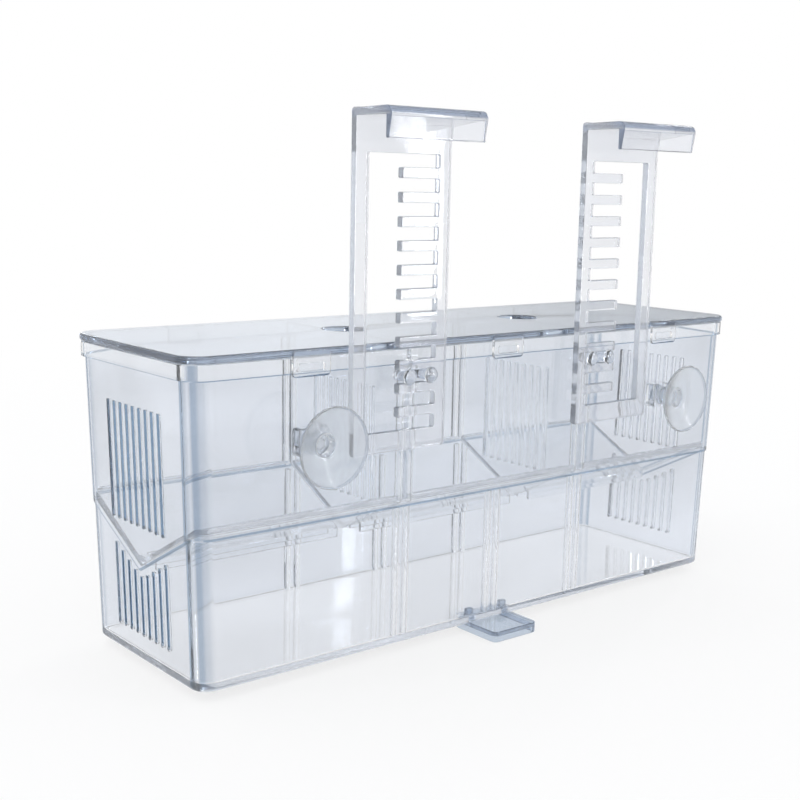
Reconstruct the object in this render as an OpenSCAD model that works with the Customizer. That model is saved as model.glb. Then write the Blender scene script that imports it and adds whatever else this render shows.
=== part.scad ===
// Hang-on fish breeding box: a clear tank with a lid, two upright dividers that make
// three rooms, a V-shaped tray in each room, two toothed hooks for the aquarium's rim,
// two suction cups and a stand-off foot. Millimetres, +Z up, front of the box towards -Y.
// The origin is the centre of the tank floor's underside.

/* [Tank] */
// Outer length of the tank at its rim
rim_l = 262; // [236:1:320]
// Outer depth of the tank at its rim
rim_w = 76.8; // [68:0.2:100]
// Height of the tank's rim
rim_h = 106.5; // [102:0.5:130]
// How far each end wall leans in between rim and floor
taper_l = 3.6; // [1:0.2:6]
// How far the front and back walls lean in between rim and floor
taper_w = 1; // [0.4:0.2:2]
// Outer radius of the upright corners
corner_r = 7; // [5:0.5:10]
// Thickness of the upper walls
wall_t = 1.8; // [1.4:0.1:2.4]
// Thickness of the lower walls
low_wall_t = 2.4; // [2:0.1:3]
// Thickness of the floor
floor_t = 2.2; // [1.6:0.1:3]
// Height of the collar band round the rim
collar_h = 5.2; // [3:0.2:5.8]
// How far the collar stands out from the wall
collar_out = 1.2; // [0.8:0.1:2]

/* [Ledge] */
// Height of the ledge that the trays rest on
ledge_z = 52; // [48:0.5:58]
// How far the upper walls stand out past the lower walls
ledge_out = 0.6; // [0.4:0.1:1]
// Height of the outer step below the ledge
ledge_t = 1.6; // [1.2:0.1:2.4]
// Height of the lowest line of the V
v_low_z = 34; // [30:0.5:38]
// Flat strip between the V and the lower wall
v_strip = 0.8; // [0.4:0.1:2]

/* [Vents] */
// Vent slots in each group
vent_count = 9; // [5:1:9]
// Spacing of the vent slots
vent_pitch = 4.3; // [3.6:0.1:4.4]
// Width of a vent slot
vent_w = 1.5; // [1.2:0.1:1.8]
// Bottom of the upper vent slots
vent_z = 48; // [46:0.5:52]
// Top of the upper vent slots
vent_top_z = 88.5; // [80:0.5:92]
// Bottom of the lower vent slots
low_vent_z = 9.3; // [6:0.1:14]
// Solid band between the lower vent slots and the V
vent_band = 4.2; // [3:0.1:6]

/* [Dividers] */
// Distance of each divider from the middle of the tank
div_x = 44.3; // [38:0.1:52]
// Thickness of a divider
div_t = 2; // [1.6:0.1:2.4]
// Width of one channel rib
rib_w = 2; // [1.4:0.1:2.4]
// How far a channel rib stands in from the wall
rib_d = 2.2; // [1.6:0.1:2.8]
// Distance of the ribs' top ends below the rim
rib_drop = 6; // [4:0.5:10]
// Distance of the divider's top edge below the rim
div_drop = 0.6; // [0.4:0.1:2]

/* [Trays] */
// Wall thickness of a tray
tray_t = 1.8; // [1.4:0.1:2.2]
// Width of the slot along the bottom of the V
tray_slot = 5; // [4.6:0.1:6]
// Height of the lips that hang along the slot
tray_lip = 3; // [1.5:0.1:4]
// Length of the closed bridge at each end of the slot
tray_bridge = 4.5; // [3:0.1:8]

/* [Lid] */
// Thickness of the lid
lid_t = 2.5; // [2:0.1:3.5]
// Overhang of the lid past the collar
lid_over = 0.4; // [0.2:0.1:1]
// Diameter of the feeding holes
feed_d = 16; // [12:0.5:18]
// Width of a lid tab
tab_w = 15; // [10:0.5:16]
// How far a tab reaches below the lid
tab_h = 6.5; // [4:0.1:7]
// Thickness of a tab
tab_t = 1.2; // [1:0.1:1.4]
// Distance of the outer tabs from the middle of the lid
tab_x = 87.5; // [84:0.5:100]

/* [Hooks] */
// Distance of a hook's inner edge from the middle of the tank
hook_x = 33.2; // [30:0.1:36]
// Thickness of a hook
hook_t = 2.8; // [2.4:0.1:3.2]
// Gap between the collar and the back of a hook
hook_gap = 2; // [1.8:0.1:3]
// Width of the leg that carries the teeth
root_leg = 5; // [4:0.1:7]
// Length of a tooth
tooth_l = 16; // [15.4:0.1:18]
// Width of the open window beside the teeth
window_w = 14; // [13.8:0.1:18]
// Width of the plain leg
outer_leg = 5.5; // [4:0.1:8]
// Spacing of the slots
slot_pitch = 8; // [7:0.1:9]
// Height of a slot
slot_h = 4.4; // [4.2:0.1:4.8]
// Number of slots
slot_count = 12; // [8:1:14]
// Slot that holds the pegs, counted from the lowest as 0
peg_slot = 2; // [1:1:4]
// Height of the bottom bar
bottom_bar = 7; // [5:0.1:10]
// Height of the top bar
top_bar = 14; // [12:0.1:20]
// Reach of the shelf from the plate's back to the lip's front
shelf_reach = 20.4; // [18:0.1:36]
// Height of the lip that hangs from the shelf
lip_h = 10; // [7:0.1:13]
// Outer radius of the bends
bend_r = 2.8; // [1:0.1:3]

/* [Pegs] */
// Distance of the pegs below the rim
peg_drop = 8.9; // [8.5:0.1:12.5]
// Diameter of a peg's shank
peg_d = 3.8; // [3:0.1:3.8]
// Diameter of a peg's head
peg_head_d = 5.8; // [5:0.1:6.4]
// Thickness of a peg's head
peg_head_t = 1.8; // [1:0.1:2.4]
// Distance between the two pegs of a pair
peg_pair = 9.4; // [7:0.1:9.4]

/* [Suction cups] */
// Distance of each cup's centre from the tank's end
cup_inset = 43.5; // [35:0.1:51]
// Distance of the cups' centres below the rim
cup_drop = 27.5; // [24.5:0.5:34]
// Diameter of a cup
cup_d = 27; // [22:0.5:28]
// Depth of the cup's hollow
cup_hollow = 4; // [2.5:0.1:5]
// Distance from the wall to the cup's rim
cup_reach = 15.9; // [14:0.1:20]
// Thickness of the cup at its rim
cup_rim_t = 0.8; // [0.6:0.1:1.2]
// Thickness of the cup at its centre
cup_mid_t = 2; // [1.4:0.1:2.6]
// Diameter of the cup's hub
hub_d = 7.4; // [6:0.1:9]
// Diameter of the cup's neck
neck_d = 4.2; // [3.4:0.1:5]
// Diameter of the button that locks behind the bracket
button_d = 7.6; // [6.4:0.1:8]
// Thickness of the button
button_t = 1.4; // [1:0.1:1.6]
// Width of a cup bracket
bracket_w = 11.4; // [11:0.1:14]
// Height of a cup bracket
bracket_h = 9.2; // [8:0.1:12]
// Depth of a cup bracket
bracket_d = 4.2; // [4:0.1:6]
// Thickness of a bracket's front plate
bracket_t = 1.5; // [1.2:0.1:1.6]

/* [Foot] */
// Width of the foot
foot_w = 22; // [16:0.5:30]
// How far the foot reaches out past the wall
foot_reach = 13.6; // [10:0.2:18]
// How far the foot reaches in below the floor
foot_in = 9; // [7:0.2:14]
// Depth of the pocket in the tank's underside that the foot lies in
pocket_t = 0.5; // [0.3:0.1:0.8]
// Thickness of the foot's plate
foot_t = 1.8; // [1.4:0.1:2.4]
// Height of the foot with its rim
foot_h = 4; // [3:0.1:6]
// Width of one prong
prong_w = 3; // [2:0.1:4]
// Thickness of one prong
prong_t = 2; // [1.4:0.1:2.4]
// How far the prongs stand above the floor
prong_up = 2.4; // [1.5:0.1:4]

/* [Fits] */
// Clearance between pieces that lift out
loose = 0.3; // [0.25:0.05:0.4]
// Clearance between faces that rest on each other
seat = 0.25; // [0.2:0.05:0.3]

/* [Hidden] */
$fn = 64;
thin = 0.01;
corner_fn = 32;
cup_steps = 10;
sides = [-1, 1];

// Heights that keep their distance from the rim
peg_z = rim_h - peg_drop;
cup_z = rim_h - cup_drop;

// The inner half sizes of the tank and the lines of the V
low_cut = ledge_out + low_wall_t;
v_half = half_w(ledge_z) - low_cut - v_strip;
v_slope = (ledge_z - v_low_z) / v_half;
tray_half = half_w(ledge_z) - wall_t - loose;
chan_gap = div_t + 2 * loose;

// Places on the front of the box, measured forward from the middle
collar_y = rim_w / 2 + collar_out;
hook_y = collar_y + hook_gap;
hook_w = root_leg + tooth_l + window_w + outer_leg;
slot_z0 = peg_z - peg_slot * slot_pitch;
hook_low = slot_z0 - slot_h / 2 - bottom_bar;
window_h = (slot_count - 1) * slot_pitch + slot_h;
hook_high = slot_z0 - slot_h / 2 + window_h + top_bar;
peg_x = hook_x + root_leg + peg_d / 2 + loose + 0.2;
lid_z = rim_h + seat;
cup_x = max(rim_l / 2 - cup_inset, hook_x + hook_w + bracket_w / 2 + 1);
cup_y = half_w(cup_z);

// Half length of the tank's outer face at a height
function half_l(z) = rim_l / 2 - taper_l * (rim_h - z) / rim_h;

// Half depth of the tank's outer face at a height
function half_w(z) = rim_w / 2 - taper_w * (rim_h - z) / rim_h;

// Height of the V's line at a distance from the middle plane
function v_z(y) = min(ledge_z, v_low_z + v_slope * abs(y));

// Depth of the cup's hollow at a radius
function bowl(r) = cup_hollow * pow(2 * r / cup_d, 2);

// Thickness of the cup at a radius
function cup_wall(r) = cup_mid_t + (cup_rim_t - cup_mid_t) * 2 * r / cup_d;

// Solid that leans out towards the rim, cut back from the tank's outer face
module leaning_block(z0, z1, cut) {
  r = corner_r - cut;
  hull()
    for (z = [z0, z1 - thin], sx = sides, sy = sides)
      translate([sx * (half_l(z) - cut - r), sy * (half_w(z) - cut - r), z])
        cylinder(r = r, h = thin, $fn = corner_fn);
}

// Rectangle with round corners
module round_rect(w, h, r) {
  square([w - 2 * r, h], center = true);
  square([w, h - 2 * r], center = true);
  for (sx = sides, sy = sides)
    translate([sx * (w / 2 - r), sy * (h / 2 - r)])
      circle(r = r);
}

// Extrudes a Y-Z outline along X, from x0 to x1
module along_x(x0, x1) {
  translate([x0, 0, 0])
    rotate([90, 0, 90])
      linear_extrude(height = x1 - x0)
        children();
}

// Extrudes an X-Z outline forward, from y0 to y1 in front of the middle
module forward(y0, y1) {
  translate([0, -y0, 0])
    rotate([90, 0, 0])
      linear_extrude(height = y1 - y0)
        children();
}

// All space above the V and its ledge, lowered by a distance
module above_v(drop) {
  along_x(-rim_l, rim_l)
    polygon([[-rim_w, rim_h * 2], [-rim_w, ledge_z - drop], [-v_half, ledge_z - drop],
             [0, v_low_z - drop], [v_half, ledge_z - drop], [rim_w, ledge_z - drop],
             [rim_w, rim_h * 2]]);
}

// Outer form of the tank
module tank_outside() {
  leaning_block(0, ledge_z, ledge_out);
  intersection() {
    leaning_block(v_low_z - ledge_t - 1, rim_h, 0);
    above_v(ledge_t);
  }
  translate([0, 0, rim_h - collar_h])
    linear_extrude(height = collar_h)
      round_rect(rim_l + 2 * collar_out, rim_w + 2 * collar_out, corner_r + collar_out);
}

// Hollow of the tank, with its ledge and its V-shaped step at the ends
module tank_inside() {
  leaning_block(floor_t, ledge_z + thin, low_cut);
  intersection() {
    leaning_block(v_low_z - 1, rim_h + 1, wall_t);
    above_v(0);
  }
}

// Vent slots through an upright plate at x, whose slots end above the V
module vents(x, z0, z1, through) {
  for (i = [0 : vent_count - 1])
    translate([x, (i - (vent_count - 1) / 2) * vent_pitch, (z0 + z1) / 2])
      cube([through, vent_w, z1 - z0], center = true);
}

// Lower vent slots in one end wall, whose tops follow the V
module low_vents(side) {
  for (i = [0 : vent_count - 1]) {
    y = (i - (vent_count - 1) / 2) * vent_pitch;
    top = v_z(abs(y) - vent_w / 2) - vent_band;
    translate([side * (half_l(top) - low_cut / 2), y, (low_vent_z + top) / 2])
      cube([low_cut * 3, vent_w, top - low_vent_z], center = true);
  }
}

// Pair of upright ribs on one long wall, at x, standing in from a face
module rib_pair(x, side, z0, z1, cut, depth) {
  inner = half_w(z0) - cut - depth;
  outer = half_w(z0) - cut + 0.5;
  for (s = sides)
    translate([x + s * (chan_gap + rib_w) / 2, side * (inner + outer) / 2, (z0 + z1) / 2])
      cube([rib_w, outer - inner, z1 - z0], center = true);
}

// Two pegs that hold one hook
module pegs(side) {
  reach = hook_y + hook_t + loose;
  for (k = [0, 1])
    translate([side * (peg_x + k * peg_pair), 0, peg_z]) {
      rotate([90, 0, 0])
        translate([0, 0, half_w(peg_z) - wall_t / 2])
          cylinder(d = peg_d, h = reach - half_w(peg_z) + wall_t / 2 + peg_head_t / 2);
      rotate([90, 0, 0])
        translate([0, 0, reach])
          cylinder(d1 = peg_head_d, d2 = peg_head_d - 0.8, h = peg_head_t);
    }
}

// Block on the front wall with an open-topped keyhole for a cup's neck
module bracket(side) {
  translate([side * cup_x, 0, cup_z])
    difference() {
      forward(cup_y - wall_t / 2, cup_y + bracket_d)
        round_rect(bracket_w, bracket_h, 1);
      forward(cup_y + 0.4, cup_y + bracket_d - bracket_t)
        open_slot(button_d + 2 * loose);
      forward(cup_y, cup_y + bracket_d + 1)
        open_slot(neck_d + 2 * loose);
    }
}

// Round-bottomed slot that runs up and out
module open_slot(w) {
  circle(d = w);
  translate([-w / 2, 0])
    square([w, bracket_h]);
}

// Holes in the floor for the foot's prongs
module prong_holes() {
  for (s = sides)
    translate([s * prong_x(), -prong_y(), floor_t / 2])
      cube([prong_w + 2 * loose, prong_t + 2 * loose, floor_t * 2], center = true);
}

// Shallow pocket in the underside, open to the front, that the foot lies in
module foot_pocket() {
  translate([-foot_w / 2 - loose, -rim_w, -1])
    cube([foot_w + 2 * loose, rim_w - foot_back() + loose, pocket_t + 1]);
}

// Back edge of the foot, measured forward from the middle
function foot_back() = half_w(0) - ledge_out - foot_in;

// Place of a prong along and across the foot
function prong_x() = foot_w / 2 - prong_w / 2 - 1;
function prong_y() = half_w(0) - low_cut - prong_t / 2 - 1.6;

module tank_body() {
  color([0.86, 0.89, 0.94, 0.45])
    difference() {
      union() {
        difference() {
          tank_outside();
          tank_inside();
          for (side = sides) {
            vents(side * half_l(vent_z), vent_z, vent_top_z, wall_t * 4);
            low_vents(side);
          }
        }
        for (side = sides, x = [-div_x, div_x])
          rib_pair(x, side, ledge_z, rim_h - rib_drop, wall_t, rib_d);
        for (side = sides, x = [-div_x, 0, div_x])
          rib_pair(x, side, floor_t - 0.5, ledge_z - ledge_t - 0.4, low_cut, rib_d - 0.4);
        for (side = sides) {
          pegs(side);
          bracket(side);
        }
      }
      prong_holes();
      foot_pocket();
    }
}

module lid() {
  w = rim_w + 2 * (collar_out + lid_over);
  l = rim_l + 2 * (collar_out + lid_over);
  color([0.80, 0.84, 0.90, 0.5]) {
    difference() {
      translate([0, 0, lid_z])
        linear_extrude(height = lid_t)
          round_rect(l, w, corner_r + collar_out + lid_over);
      for (side = sides)
        translate([side * div_x, 0, lid_z - 1])
          cylinder(d = feed_d, h = lid_t + 2);
    }
    for (side = sides, x = [-tab_x, 0, tab_x])
      lid_tab(x, side);
  }
}

// Tab that hangs from the lid in front of or behind the collar
module lid_tab(x, side) {
  inner = collar_y + loose;
  high = lid_t + tab_h;
  translate([x, side * inner, lid_z + lid_t - high / 2])
    rotate([90, 0, 0])
      translate([0, 0, side > 0 ? -tab_t : 0])
        linear_extrude(height = tab_t)
          difference() {
            round_rect(tab_w, high, 1.5);
            translate([0, -high / 2 + tab_h / 2 - 0.2])
              square([tab_w - 5, tab_h - 4], center = true);
          }
}

// Upright plate with a V-shaped bottom edge and a group of vent slots
module divider(side) {
  low = half_w(ledge_z) - wall_t - loose;
  high_z = rim_h - div_drop;
  high = half_w(high_z) - wall_t - loose;
  base = ledge_z + seat;
  color([0.84, 0.87, 0.93, 0.45])
    difference() {
      along_x(side * div_x - div_t / 2, side * div_x + div_t / 2)
        polygon([[-high, high_z], [-low, base], [-v_half, base], [0, v_low_z + seat],
                 [v_half, base], [low, base], [high, high_z]]);
      vents(side * div_x, vent_z, vent_top_z + 2, div_t * 2);
    }
}

module divider_left() {
  divider(-1);
}

module divider_right() {
  divider(1);
}

// Outline of one side of a tray, with its ledge strip, slope and lip
module tray_side() {
  base = seat;
  lip_z = v_z(tray_slot / 2) + base;
  polygon([[tray_slot / 2, lip_z], [v_half, ledge_z + base], [tray_half, ledge_z + base],
           [tray_half, ledge_z + base + tray_t], [v_half - 0.6, ledge_z + base + tray_t],
           [tray_slot / 2, lip_z + tray_t * 1.13]]);
}

// Lip that hangs along the slot
module tray_lip_side() {
  lip_z = v_z(tray_slot / 2) + seat;
  translate([tray_slot / 2, lip_z - tray_lip])
    square([tray_t * 0.7, tray_lip + tray_t]);
}

// Tray between two places along the tank
module tray(x0, x1) {
  lip_z = v_z(tray_slot / 2) + seat;
  color([0.78, 0.83, 0.90, 0.5])
    difference() {
      intersection() {
        union() {
          for (s = [0, 1])
            mirror([0, s, 0]) {
              along_x(x0, x1)
                tray_side();
              along_x(x0 + tray_bridge, x1 - tray_bridge)
                tray_lip_side();
            }
          for (x = [x0, x1 - tray_bridge])
            translate([x, -tray_slot / 2 - 0.5, lip_z])
              cube([tray_bridge, tray_slot + 1, tray_t]);
        }
        linear_extrude(height = rim_h)
          round_rect(2 * tray_end(), 2 * tray_half, corner_r - wall_t);
      }
      for (side = sides, x = [-div_x, div_x], s = sides)
        translate([x + s * (chan_gap + rib_w) / 2, side * half_w(ledge_z), ledge_z])
          cube([rib_w + 2 * loose, 2 * (wall_t + rib_d + loose), 4 * tray_t], center = true);
    }
}

// Far end of the outer trays, and the ends beside a divider
function tray_end() = half_l(v_low_z) - wall_t - loose;
function tray_near() = div_x + div_t / 2 + loose;
function tray_far() = div_x - div_t / 2 - loose;

module tray_left() {
  tray(-tray_end(), -tray_near());
}

module tray_middle() {
  tray(-tray_far(), tray_far());
}

module tray_right() {
  tray(tray_near(), tray_end());
}

// Side outline of the shelf and the lip, bent over at the front
module shelf_outline() {
  front = hook_y + shelf_reach;
  translate([-front + bend_r, hook_high - hook_t])
    square([shelf_reach - bend_r - hook_t / 2, hook_t]);
  translate([-front, hook_high - lip_h])
    square([hook_t, lip_h - bend_r]);
  intersection() {
    translate([-front + bend_r, hook_high - bend_r])
      circle(r = bend_r);
    translate([-front, hook_high - bend_r])
      square([bend_r, bend_r]);
  }
}

// Hook on the right-hand side of the box
module hook() {
  mid = (hook_low + hook_high) / 2;
  color([0.93, 0.94, 0.97, 0.45]) {
    forward(hook_y, hook_y + hook_t)
      difference() {
        translate([hook_x + hook_w / 2, mid])
          round_rect(hook_w, hook_high - hook_low, 1.2);
        translate([hook_x + root_leg + tooth_l, slot_z0 - slot_h / 2])
          square([window_w, window_h]);
        for (i = [0 : slot_count - 1])
          translate([hook_x + root_leg, slot_z0 + i * slot_pitch - slot_h / 2])
            square([tooth_l + 1, slot_h]);
      }
    along_x(hook_x, hook_x + hook_w)
      shelf_outline();
  }
}

module hook_left() {
  mirror([1, 0, 0])
    hook();
}

module hook_right() {
  hook();
}

// Soft suction cup with its hub, neck and button, turned about its own axis
module cup(side) {
  hub_end = cup_reach - cup_hollow - cup_mid_t + 1;
  button_s = 0.4 + (bracket_d - bracket_t - 0.4 - button_t) / 2;
  plate_s = bracket_d + loose;
  color([0.90, 0.92, 0.95, 0.5])
    translate([side * cup_x, -cup_y, cup_z])
      rotate([90, 0, 0])
        rotate_extrude()
          polygon(concat(
            [[0, button_s], [button_d / 2, button_s], [button_d / 2, button_s + button_t],
             [neck_d / 2, button_s + button_t], [neck_d / 2, plate_s], [hub_d / 2, plate_s],
             [hub_d / 2, hub_end]],
            [for (i = [3 : cup_steps])
              let (r = cup_d / 2 * i / cup_steps)
              [r, cup_reach - cup_hollow + bowl(r) - cup_wall(r)]],
            [for (i = [cup_steps : -1 : 0])
              let (r = cup_d / 2 * i / cup_steps)
              [r, cup_reach - cup_hollow + bowl(r)]]));
}

module cup_left() {
  cup(-1);
}

module cup_right() {
  cup(1);
}

// Stand-off tongue under the front edge, with a hanging rim and two prongs
module foot() {
  top = pocket_t - seat;
  front = half_w(0) - ledge_out + foot_reach;
  back = foot_back();
  rim = foot_t * 0.8;
  color([0.76, 0.81, 0.88, 0.55]) {
    difference() {
      translate([0, -(front + back) / 2, top - foot_h])
        linear_extrude(height = foot_h)
          round_rect(foot_w, front - back, 2.5);
      translate([0, -(front + back) / 2 + rim * 2, top - foot_h - foot_t])
        linear_extrude(height = foot_h)
          round_rect(foot_w - 2 * rim, front - back + 2 * rim, 1.6);
    }
    for (s = sides)
      translate([s * prong_x(), -prong_y(), (top - foot_t + floor_t + prong_up) / 2])
        cube([prong_w, prong_t, floor_t + prong_up - top + foot_t], center = true);
  }
}

tank_body();
lid();
divider_left();
divider_right();
tray_left();
tray_middle();
tray_right();
hook_left();
hook_right();
cup_left();
cup_right();
foot();
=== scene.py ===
"""Dresses the fish breeding box: a clear tank with lid, dividers, trays, toothed hooks, soft cups and a foot."""

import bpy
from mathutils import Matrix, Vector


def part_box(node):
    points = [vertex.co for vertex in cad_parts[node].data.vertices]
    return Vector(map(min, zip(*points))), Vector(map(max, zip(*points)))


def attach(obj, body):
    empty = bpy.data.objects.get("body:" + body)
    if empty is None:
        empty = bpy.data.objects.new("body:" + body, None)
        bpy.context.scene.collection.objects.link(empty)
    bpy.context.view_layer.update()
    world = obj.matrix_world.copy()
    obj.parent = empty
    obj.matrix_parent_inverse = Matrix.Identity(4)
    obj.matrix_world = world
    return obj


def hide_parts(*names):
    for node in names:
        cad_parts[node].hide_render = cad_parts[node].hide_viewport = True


bl_info = {
    "name": "Fish breeding box",
    "version": (1, 0, 0),
    "blender": (4, 5, 0),
    "location": "3D View > Sidebar > Breeding box",
    "description": "Builds the clear pieces of a hang-on fish breeding box on their frame",
    "category": "Add Mesh",
}

import math

import bmesh
import bpy
from mathutils import Matrix, Vector

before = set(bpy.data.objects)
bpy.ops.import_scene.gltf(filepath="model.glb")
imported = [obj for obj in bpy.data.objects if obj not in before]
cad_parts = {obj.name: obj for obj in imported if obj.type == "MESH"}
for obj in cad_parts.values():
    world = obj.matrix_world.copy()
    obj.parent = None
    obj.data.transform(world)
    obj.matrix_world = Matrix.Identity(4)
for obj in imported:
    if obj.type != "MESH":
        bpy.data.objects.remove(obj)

MM = 0.001
SIDES = {"left": -1, "right": 1}
TANK_LOW, TANK_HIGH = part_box("tank_body")
LID_LOW, LID_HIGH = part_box("lid")
HOOK_LOW, HOOK_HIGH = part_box("hook_right")
CUP_LOW, CUP_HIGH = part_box("cup_right")
DIVIDER_LOW, DIVIDER_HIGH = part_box("divider_right")
FOOT_LOW, FOOT_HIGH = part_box("foot")
DIVIDER_X = (DIVIDER_LOW.x + DIVIDER_HIGH.x) / 2

COLLAR_OUT = 1.2 * MM  # How far the collar stands out from the wall
LID_OVER = 0.4 * MM  # How far the lid stands out past the collar
SINK = 0.5 * MM  # How deep a form that is joined on reaches into what carries it
PAST = 1.0 * MM  # How far a cutter reaches past the faces it cuts
HAIR = 0.01 * MM  # Keeps faces of two forms from falling on each other
NEAR = 0.1 * MM  # How far a face may lie from the place where its tint is looked for

# Planes that lay an outline (u, v) and its thickness (w) into the frame
FLAT = Matrix.Identity(4)
FACING_FRONT = Matrix(((1, 0, 0, 0), (0, 0, -1, 0), (0, 1, 0, 0), (0, 0, 0, 1)))
FACING_END = Matrix(((0, 0, 1, 0), (1, 0, 0, 0), (0, 1, 0, 0), (0, 0, 0, 1)))


def length(name, description, default):
    """A size that the sidebar shows with its unit, given in millimetres."""
    shown = dict(min=0.0, unit="LENGTH", subtype="DISTANCE", precision=5)
    return bpy.props.FloatProperty(name=name, description=description, default=default * MM, **shown)


def linear(hex_code):
    """Linear red, green, blue and alpha of an sRGB hex code."""
    parts = [int(hex_code.lstrip("#")[i : i + 2], 16) / 255 for i in (0, 2, 4)]
    return tuple(p / 12.92 if p <= 0.04045 else ((p + 0.055) / 1.055) ** 2.4 for p in parts) + (1.0,)


def colour(name, description, hex_code):
    """A colour that the sidebar shows, given as an sRGB hex code."""
    return bpy.props.FloatVectorProperty(
        name=name, description=description, default=linear(hex_code), size=4, min=0.0, max=1.0, subtype="COLOR"
    )


def count(name, description, default, low, high):
    """A whole number that the sidebar shows."""
    return bpy.props.IntProperty(name=name, description=description, default=default, min=low, max=high)


class TankSizes(bpy.types.PropertyGroup):
    """Sizes of the tank, which the lid, dividers and trays also read."""

    collar_out: length("Collar stand-out", "How far the collar stands out from the wall", COLLAR_OUT / MM)
    collar_h: length("Collar height", "Height of the collar band", 5.2)
    rim_l: length(
        "Rim length", "Length of the tank at its rim, collar left out", (TANK_HIGH.x - TANK_LOW.x - 2 * COLLAR_OUT) / MM
    )
    rim_w: length("Rim depth", "Depth of the tank at its rim, collar left out", 2 * (TANK_HIGH.y - COLLAR_OUT) / MM)
    rim_h: length("Rim height", "Height of the rim", TANK_HIGH.z / MM)
    taper_l: length("End lean", "How far each end wall leans in", 3.6)
    taper_w: length("Side lean", "How far each long wall leans in", 1.0)
    corner_r: length("Corner radius", "Outer radius of the upright corners", 7.0)
    wall_t: length("Upper wall", "Thickness of the upper walls", 1.8)
    low_wall_t: length("Lower wall", "Thickness of the lower walls", 2.4)
    floor_t: length("Floor", "Thickness of the floor", 2.2)
    ledge_z: length("Ledge height", "Height of the ledge that the trays rest on", 52.0)
    ledge_out: length("Ledge stand-out", "How far the upper walls stand out past the lower ones", 0.6)
    ledge_t: length("Ledge step", "Height of the outer step below the ledge", 1.6)
    v_low_z: length("Lowest V line", "Height of the lowest line of the V", 34.0)
    v_strip: length("Flat strip", "Flat strip between the V and the lower wall", 0.8)
    bottom_round: length("Bottom rounding", "Radius of the bottom edge", 1.2)
    floor_round: length("Floor rounding", "Radius inside, where the wall meets the floor", 1.2)
    edge_round: length("Edge rounding", "Radius of the collar's and the slots' edges", 0.3)
    vent_pitch: length("Vent spacing", "Spacing of the vent slots", 4.3)
    vent_w: length("Vent width", "Width of a vent slot", 1.5)
    vent_z: length("Vent bottom", "Bottom of the upper vent slots", 48.0)
    vent_top_z: length("Vent top", "Top of the upper vent slots", 88.5)
    low_vent_z: length("Lower vent bottom", "Bottom of the lower vent slots", 9.3)
    vent_band: length("Vent band", "Solid band between the lower vents and the V", 4.2)
    rib_w: length("Rib width", "Width of a channel rib", 2.0)
    rib_d: length("Rib depth", "How far a channel rib stands in", 2.2)
    rib_drop: length("Rib drop", "Distance of the ribs' top ends below the rim", 6.0)
    chan_gap: length("Channel gap", "Gap between the two ribs of a channel", 2.6)
    vent_count: count("Vents", "Vent slots in each group", 9, 1, 15)


class PieceSizes(bpy.types.PropertyGroup):
    """Sizes of the pieces that hang on or stand in the tank."""

    feed_d: length("Feeding hole", "Diameter of the feeding holes", 16.0)
    lid_t: length("Lid thickness", "Thickness of the lid's plate", 2.5)
    lid_round: length("Lid edge", "Rounding of the lid's edge", 0.8)
    tab_w: length("Tab width", "Width of a lid tab", 15.0)
    tab_t: length("Tab thickness", "Thickness of a lid tab", 1.2)
    tab_x: length("Tab place", "Distance of the outer tabs from the middle", 87.5)
    plate_round: length("Plate edge", "Rounding of thin plates' edges", 0.35)
    tray_t: length("Tray thickness", "Wall thickness of a tray", 1.8)
    tray_slot: length("Tray slot", "Width of the slot in a tray", 5.0)
    tray_lip: length("Tray lip", "Height of the lips along the slot", 3.0)
    tray_bridge: length("Tray bridge", "Closed length at each end of the slot", 4.5)
    loose: length("Clearance", "Clearance between pieces that lift out", 0.3)
    seat: length("Seat", "Clearance between faces that rest on each other", 0.25)
    hook_t: length("Hook thickness", "Thickness of a hook", 2.8)
    root_leg: length("Toothed leg", "Width of the leg that carries the teeth", 5.0)
    tooth_l: length("Tooth length", "Length of a tooth", 16.0)
    window_w: length("Window width", "Width of the open window", 14.0)
    slot_pitch: length("Slot spacing", "Spacing of the hook's slots", 8.0)
    slot_h: length("Slot height", "Height of a slot", 4.4)
    bottom_bar: length("Bottom bar", "Height of the hook's bottom bar", 7.0)
    lip_h: length("Lip height", "Height of the lip that hangs from the shelf", 10.0)
    bend_r: length("Bend radius", "Outer radius of the bend", 2.8)
    peg_d: length("Peg", "Diameter of a peg's shank", 3.8)
    peg_head_d: length("Peg head", "Diameter of a peg's head", 5.8)
    peg_pair: length("Peg pair", "Distance between the two pegs of a pair", 9.4)
    cup_hollow: length("Cup hollow", "Depth of the cup's hollow", 4.0)
    cup_rim_t: length("Cup rim", "Thickness of the cup at its rim", 0.8)
    cup_mid_t: length("Cup middle", "Thickness of the cup at its centre", 2.0)
    hub_d: length("Cup hub", "Diameter of the cup's hub", 7.4)
    neck_d: length("Cup neck", "Diameter of the cup's neck", 4.2)
    button_d: length("Cup button", "Diameter of the button behind the bracket", 7.6)
    bracket_d: length("Bracket depth", "Depth of a cup bracket", 4.2)
    bracket_t: length("Bracket plate", "Thickness of a bracket's front plate", 1.5)
    foot_t: length("Foot plate", "Thickness of the foot's plate", 1.8)
    pocket_t: length("Foot pocket", "Depth of the pocket in the tank's underside that takes the foot", 0.5)
    slot_count: count("Slots", "Slots between the teeth of a hook", 12, 2, 16)


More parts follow.
